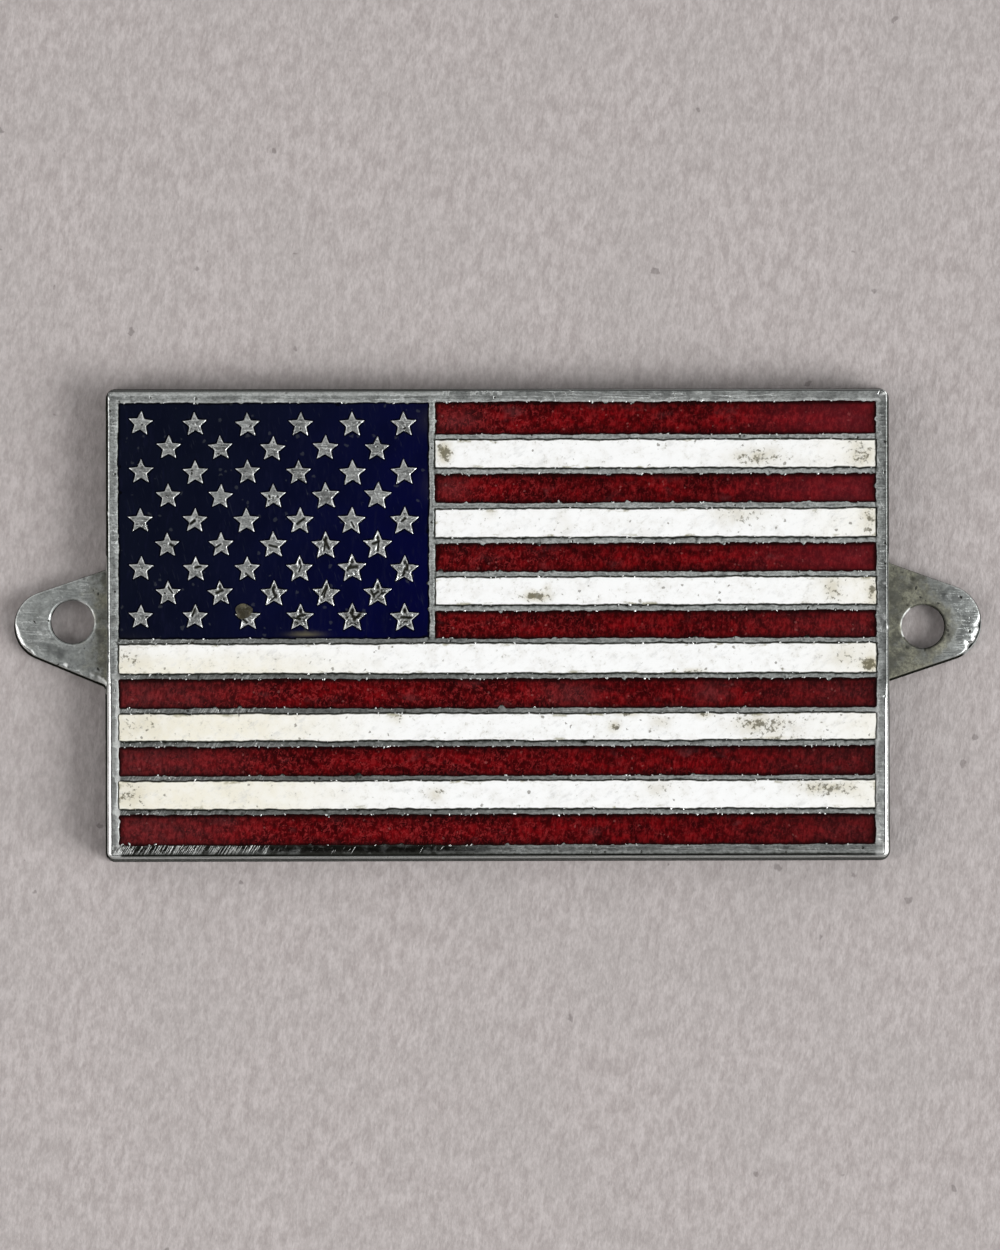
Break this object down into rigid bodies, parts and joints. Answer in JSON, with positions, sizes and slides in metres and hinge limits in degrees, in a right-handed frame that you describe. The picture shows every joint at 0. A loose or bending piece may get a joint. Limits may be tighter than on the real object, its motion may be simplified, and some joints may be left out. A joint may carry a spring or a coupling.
{
  "type": "enamelled dashboard badge",
  "caption": "Small rectangular chromed metal badge with a screw ear at each end and a stars and stripes flag in enamel set into its face.",
  "frame": {"origin": "centre of the flat back face", "axes": "+X along the stripes towards the fly end, +Y towards the flag's top edge, +Z out of the face"},
  "size_m": [0.0704, 0.034, 0.0025],
  "materials": {
    "plated_metal": "polished",
    "blue_enamel": "gloss",
    "red_enamel": "gloss",
    "white_enamel": "gloss"
  },
  "bodies": {
    "root": {"base_plate": "plated_metal", "blue_canton_enamel": "blue_enamel", "red_enamel_1": "red_enamel", "white_enamel_1": "white_enamel", "red_enamel_2": "red_enamel", "white_enamel_2": "white_enamel", "red_enamel_3": "red_enamel", "white_enamel_3": "white_enamel", "red_enamel_4": "red_enamel", "white_enamel_4": "white_enamel", "red_enamel_5": "red_enamel", "white_enamel_5": "white_enamel", "red_enamel_6": "red_enamel", "white_enamel_6": "white_enamel", "red_enamel_7": "red_enamel"}
  },
  "joints": []
}
